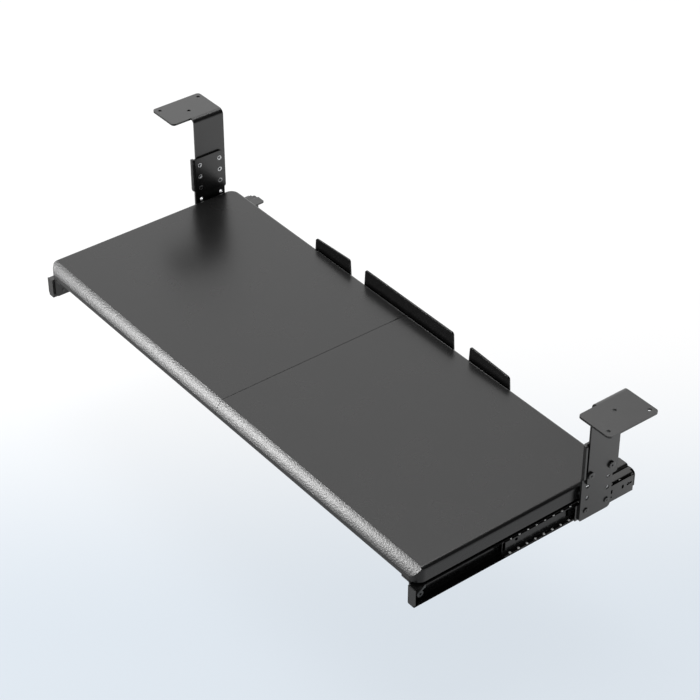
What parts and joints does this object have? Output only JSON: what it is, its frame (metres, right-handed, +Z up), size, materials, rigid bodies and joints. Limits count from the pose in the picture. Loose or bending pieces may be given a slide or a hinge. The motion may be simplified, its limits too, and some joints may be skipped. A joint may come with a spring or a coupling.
{
  "type": "under-desk keyboard tray",
  "caption": "Slide-out keyboard tray: a black two-part board with a sloping textured palm edge, ball-bearing side slides and height-adjustable steel desk brackets.",
  "frame": {"origin": "Middle of the four outer desk screw holes, in the plane of the desk's underside (the top faces of the two desk plates). The tray is stored pulled fully out towards the user.", "axes": "+X to the user's right along the board, +Y away from the user, the way the tray slides in, +Z up into the desk"},
  "size_m": [0.8028, 0.3, 0.157],
  "materials": {
    "board": "fibreboard in a black satin film, with a pebbled palm edge at the front",
    "powder_steel": "fine-textured black powder coat",
    "slide_steel": "smooth black electro-coat",
    "cage_steel": "dark grey, half-matt",
    "ball_steel": "polished bearing balls with a film of grease",
    "dark_zinc": "black zinc screws and rivets",
    "bright_zinc": "bright zinc-plated press-in nuts",
    "bumper": "moulded grey plastic",
    "beech": "plain beech dowel"
  },
  "bodies": {
    "brackets": {"left_upper_bracket": "powder_steel", "right_upper_bracket": "powder_steel", "left_lower_bracket": "powder_steel", "right_lower_bracket": "powder_steel", "left_short_rail": "slide_steel", "right_short_rail": "slide_steel", "left_rail_screws": "dark_zinc", "right_rail_screws": "dark_zinc", "left_height_bolts": "dark_zinc", "right_height_bolts": "dark_zinc", "left_height_nuts": "bright_zinc", "right_height_nuts": "bright_zinc"},
    "tray": {"left_board": "board", "right_board": "board", "board_dowels": "beech", "rear_stop_plate": "powder_steel", "joining_plate": "powder_steel", "left_side_channel": "powder_steel", "right_side_channel": "powder_steel", "left_tray_rail": "slide_steel", "right_tray_rail": "slide_steel", "left_rail_rivets": "dark_zinc", "right_rail_rivets": "dark_zinc", "left_bumper": "bumper", "right_bumper": "bumper", "channel_screws": "dark_zinc", "plate_screws": "dark_zinc"},
    "left_cage": {"left_ball_cage": "cage_steel", "left_balls": "ball_steel"},
    "right_cage": {"right_ball_cage": "cage_steel", "right_balls": "ball_steel"}
  },
  "joints": [
    {"name": "tray_slide", "type": "slide", "parent": "brackets", "child": "tray", "axis": [0, 1, 0], "range_m": [0, 0.2]},
    {"name": "left_cage_slide", "type": "slide", "parent": "brackets", "child": "left_cage", "axis": [0, 1, 0], "range_m": [0, 0.1]},
    {"name": "right_cage_slide", "type": "slide", "parent": "brackets", "child": "right_cage", "axis": [0, 1, 0], "range_m": [0, 0.1]}
  ],
  "couplings": [
    {"joint": "left_cage_slide", "follows": "tray_slide", "ratio": 0.5},
    {"joint": "right_cage_slide", "follows": "tray_slide", "ratio": 0.5}
  ]
}
